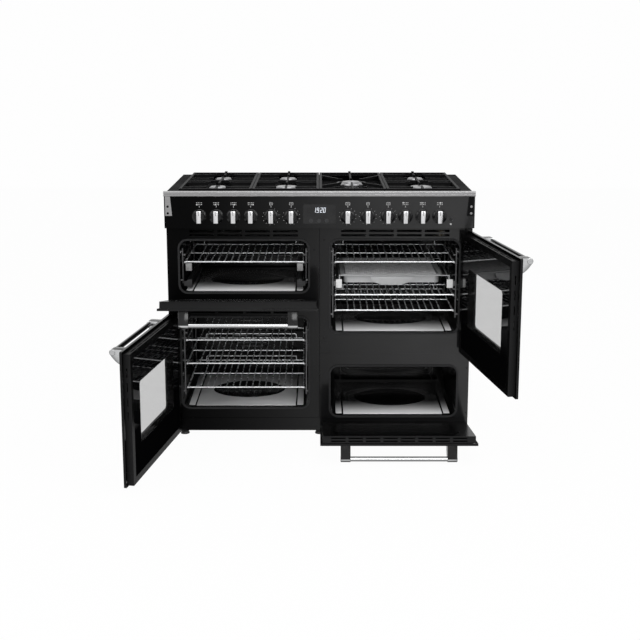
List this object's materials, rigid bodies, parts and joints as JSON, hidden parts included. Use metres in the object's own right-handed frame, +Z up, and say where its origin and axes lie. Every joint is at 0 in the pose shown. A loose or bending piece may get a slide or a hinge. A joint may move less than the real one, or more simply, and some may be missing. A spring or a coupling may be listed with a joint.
{
  "type": "range cooker with double oven",
  "caption": "Freestanding dual-fuel range cooker: gas hob over side-hinged and drop-down oven doors, with wire shelves, a grill pan, a fan and turning knobs.",
  "frame": {"origin": "on the floor under the middle front foot, in the cooker's middle plane", "axes": "+Z up, +X to the right of a person facing the cooker, +Y towards its back"},
  "size_m": [1.3576, 1.1098, 0.926],
  "materials": {
    "base_frame": "satin enamel",
    "levelling_feet": "matt",
    "side_panels": "satin enamel",
    "back_panel": "plain zinc",
    "front_frame": "gloss enamel",
    "hob_top": "gloss enamel",
    "front_rail": "polished",
    "fascia_panel": "gloss enamel",
    "clock_window": "polished",
    "door_seals": "woven",
    "shelf_ladders": "polished",
    "slide_rails": "bright",
    "burner_bases": "cast",
    "burner_crowns": "cast",
    "pan_supports": "enamelled",
    "gas_taps": "cast",
    "fan_cover": "gloss enamel",
    "fan_motor": "plain",
    "upper_left_liner": "gloss enamel",
    "upper_right_liner": "gloss enamel",
    "lower_left_liner": "gloss enamel",
    "lower_right_liner": "gloss enamel",
    "upper_left_door_panel": "gloss enamel",
    "upper_left_door_tray": "gloss enamel",
    "upper_left_door_handle": "polished",
    "upper_right_door_panel": "gloss enamel",
    "upper_right_door_tray": "gloss enamel",
    "upper_right_door_handle": "polished",
    "upper_right_door_glass": "polished",
    "upper_right_door_window": "polished",
    "lower_left_door_panel": "gloss enamel",
    "lower_left_door_tray": "gloss enamel",
    "lower_left_door_handle": "polished",
    "lower_left_door_glass": "polished",
    "lower_left_door_window": "polished",
    "lower_right_door_panel": "gloss enamel",
    "lower_right_door_tray": "gloss enamel",
    "lower_right_door_handle": "polished",
    "upper_left_shelf_1": "polished",
    "upper_right_shelf_1": "polished",
    "upper_right_shelf_2": "polished",
    "upper_right_shelf_3": "polished",
    "lower_left_shelf_1": "polished",
    "lower_left_shelf_2": "polished",
    "lower_left_shelf_3": "polished",
    "grill_pan": "gloss enamel",
    "knob_1": "satin",
    "knob_2": "satin",
    "knob_3": "satin",
    "knob_4": "satin",
    "knob_5": "satin",
    "knob_6": "satin",
    "knob_7": "satin",
    "knob_8": "satin",
    "knob_9": "satin",
    "knob_10": "satin",
    "knob_11": "satin",
    "knob_12": "satin",
    "fan_wheel": "plain",
    "igniter_button": "gloss"
  },
  "bodies": {
    "cooker": {"base_frame": "base_frame", "levelling_feet": "levelling_feet", "side_panels": "side_panels", "back_panel": "back_panel", "front_frame": "front_frame", "hob_top": "hob_top", "front_rail": "front_rail", "fascia_panel": "fascia_panel", "clock_window": "clock_window", "door_seals": "door_seals", "shelf_ladders": "shelf_ladders", "slide_rails": "slide_rails", "burner_bases": "burner_bases", "burner_crowns": "burner_crowns", "pan_supports": "pan_supports", "gas_taps": "gas_taps", "fan_cover": "fan_cover", "fan_motor": "fan_motor", "upper_left_liner": "upper_left_liner", "upper_right_liner": "upper_right_liner", "lower_left_liner": "lower_left_liner", "lower_right_liner": "lower_right_liner"},
    "upper_left_door": {"upper_left_door_panel": "upper_left_door_panel", "upper_left_door_tray": "upper_left_door_tray", "upper_left_door_handle": "upper_left_door_handle"},
    "upper_right_door": {"upper_right_door_panel": "upper_right_door_panel", "upper_right_door_tray": "upper_right_door_tray", "upper_right_door_handle": "upper_right_door_handle", "upper_right_door_glass": "upper_right_door_glass", "upper_right_door_window": "upper_right_door_window"},
    "lower_left_door": {"lower_left_door_panel": "lower_left_door_panel", "lower_left_door_tray": "lower_left_door_tray", "lower_left_door_handle": "lower_left_door_handle", "lower_left_door_glass": "lower_left_door_glass", "lower_left_door_window": "lower_left_door_window"},
    "lower_right_door": {"lower_right_door_panel": "lower_right_door_panel", "lower_right_door_tray": "lower_right_door_tray", "lower_right_door_handle": "lower_right_door_handle"},
    "upper_left_shelf_1": {"upper_left_shelf_1": "upper_left_shelf_1"},
    "upper_right_shelf_1": {"upper_right_shelf_1": "upper_right_shelf_1"},
    "upper_right_shelf_2": {"upper_right_shelf_2": "upper_right_shelf_2"},
    "upper_right_shelf_3": {"upper_right_shelf_3": "upper_right_shelf_3"},
    "lower_left_shelf_1": {"lower_left_shelf_1": "lower_left_shelf_1"},
    "lower_left_shelf_2": {"lower_left_shelf_2": "lower_left_shelf_2"},
    "lower_left_shelf_3": {"lower_left_shelf_3": "lower_left_shelf_3"},
    "grill_pan": {"grill_pan": "grill_pan"},
    "knob_1": {"knob_1": "knob_1"},
    "knob_2": {"knob_2": "knob_2"},
    "knob_3": {"knob_3": "knob_3"},
    "knob_4": {"knob_4": "knob_4"},
    "knob_5": {"knob_5": "knob_5"},
    "knob_6": {"knob_6": "knob_6"},
    "knob_7": {"knob_7": "knob_7"},
    "knob_8": {"knob_8": "knob_8"},
    "knob_9": {"knob_9": "knob_9"},
    "knob_10": {"knob_10": "knob_10"},
    "knob_11": {"knob_11": "knob_11"},
    "knob_12": {"knob_12": "knob_12"},
    "fan_wheel": {"fan_wheel": "fan_wheel"},
    "igniter_button": {"igniter_button": "igniter_button"}
  },
  "joints": [
    {"name": "upper_left_door_hinge", "type": "hinge", "parent": "cooker", "child": "upper_left_door", "pos_m": [-0.2725, -0.05, 0.496], "axis": [1, 0, 0], "range_deg": [-78, 0]},
    {"name": "lower_right_door_hinge", "type": "hinge", "parent": "cooker", "child": "lower_right_door", "pos_m": [0.2725, -0.05, 0.034], "axis": [1, 0, 0], "range_deg": [-81, 0]},
    {"name": "upper_right_door_hinge", "type": "hinge", "parent": "cooker", "child": "upper_right_door", "pos_m": [0.533, -0.05, 0.55], "axis": [0, 0, 1], "range_deg": [-100, 0]},
    {"name": "lower_left_door_hinge", "type": "hinge", "parent": "cooker", "child": "lower_left_door", "pos_m": [-0.533, -0.05, 0.25], "axis": [0, 0, -1], "range_deg": [-100, 0]},
    {"name": "upper_left_shelf_1_slide", "type": "slide", "parent": "cooker", "child": "upper_left_shelf_1", "axis": [0, -1, 0], "range_m": [0, 0.3]},
    {"name": "upper_right_shelf_1_slide", "type": "slide", "parent": "cooker", "child": "upper_right_shelf_1", "axis": [0, -1, 0], "range_m": [0, 0.3]},
    {"name": "upper_right_shelf_2_slide", "type": "slide", "parent": "cooker", "child": "upper_right_shelf_2", "axis": [0, -1, 0], "range_m": [0, 0.3]},
    {"name": "upper_right_shelf_3_slide", "type": "slide", "parent": "cooker", "child": "upper_right_shelf_3", "axis": [0, -1, 0], "range_m": [0, 0.3]},
    {"name": "lower_left_shelf_1_slide", "type": "slide", "parent": "cooker", "child": "lower_left_shelf_1", "axis": [0, -1, 0], "range_m": [0, 0.3]},
    {"name": "lower_left_shelf_2_slide", "type": "slide", "parent": "cooker", "child": "lower_left_shelf_2", "axis": [0, -1, 0], "range_m": [0, 0.3]},
    {"name": "lower_left_shelf_3_slide", "type": "slide", "parent": "cooker", "child": "lower_left_shelf_3", "axis": [0, -1, 0], "range_m": [0, 0.3]},
    {"name": "grill_pan_slide", "type": "slide", "parent": "cooker", "child": "grill_pan", "axis": [0, -1, 0], "range_m": [0, 0.28]},
    {"name": "knob_1_turn", "type": "hinge", "parent": "cooker", "child": "knob_1", "pos_m": [-0.425, -0.064, 0.829], "axis": [0, -1, 0], "range_deg": [0, 225]},
    {"name": "knob_2_turn", "type": "hinge", "parent": "cooker", "child": "knob_2", "pos_m": [-0.365, -0.064, 0.829], "axis": [0, -1, 0], "range_deg": [0, 225]},
    {"name": "knob_3_turn", "type": "hinge", "parent": "cooker", "child": "knob_3", "pos_m": [-0.304, -0.064, 0.829], "axis": [0, -1, 0], "range_deg": [0, 225]},
    {"name": "knob_4_turn", "type": "hinge", "parent": "cooker", "child": "knob_4", "pos_m": [-0.243, -0.064, 0.829], "axis": [0, -1, 0], "range_deg": [0, 225]},
    {"name": "knob_5_turn", "type": "hinge", "parent": "cooker", "child": "knob_5", "pos_m": [-0.1715, -0.064, 0.829], "axis": [0, 1, 0], "range_deg": [0, 270]},
    {"name": "knob_6_turn", "type": "hinge", "parent": "cooker", "child": "knob_6", "pos_m": [-0.1, -0.064, 0.829], "axis": [0, 1, 0], "range_deg": [0, 270]},
    {"name": "knob_7_turn", "type": "hinge", "parent": "cooker", "child": "knob_7", "pos_m": [0.1, -0.064, 0.829], "axis": [0, 1, 0], "range_deg": [0, 270]},
    {"name": "knob_8_turn", "type": "hinge", "parent": "cooker", "child": "knob_8", "pos_m": [0.1715, -0.064, 0.829], "axis": [0, 1, 0], "range_deg": [0, 270]},
    {"name": "knob_9_turn", "type": "hinge", "parent": "cooker", "child": "knob_9", "pos_m": [0.243, -0.064, 0.829], "axis": [0, 1, 0], "range_deg": [0, 270]},
    {"name": "knob_10_turn", "type": "hinge", "parent": "cooker", "child": "knob_10", "pos_m": [0.304, -0.064, 0.829], "axis": [0, -1, 0], "range_deg": [0, 225]},
    {"name": "knob_11_turn", "type": "hinge", "parent": "cooker", "child": "knob_11", "pos_m": [0.365, -0.064, 0.829], "axis": [0, -1, 0], "range_deg": [0, 225]},
    {"name": "knob_12_turn", "type": "hinge", "parent": "cooker", "child": "knob_12", "pos_m": [0.425, -0.064, 0.829], "axis": [0, -1, 0], "range_deg": [0, 225]},
    {"name": "fan_spin", "type": "hinge", "parent": "cooker", "child": "fan_wheel", "pos_m": [-0.2725, 0.385, 0.278], "axis": [0, 1, 0], "continuous": true},
    {"name": "igniter_button_press", "type": "slide", "parent": "cooker", "child": "igniter_button", "axis": [0, 1, 0], "range_m": [0, 0.002], "stiffness_N_per_m": 200}
  ]
}
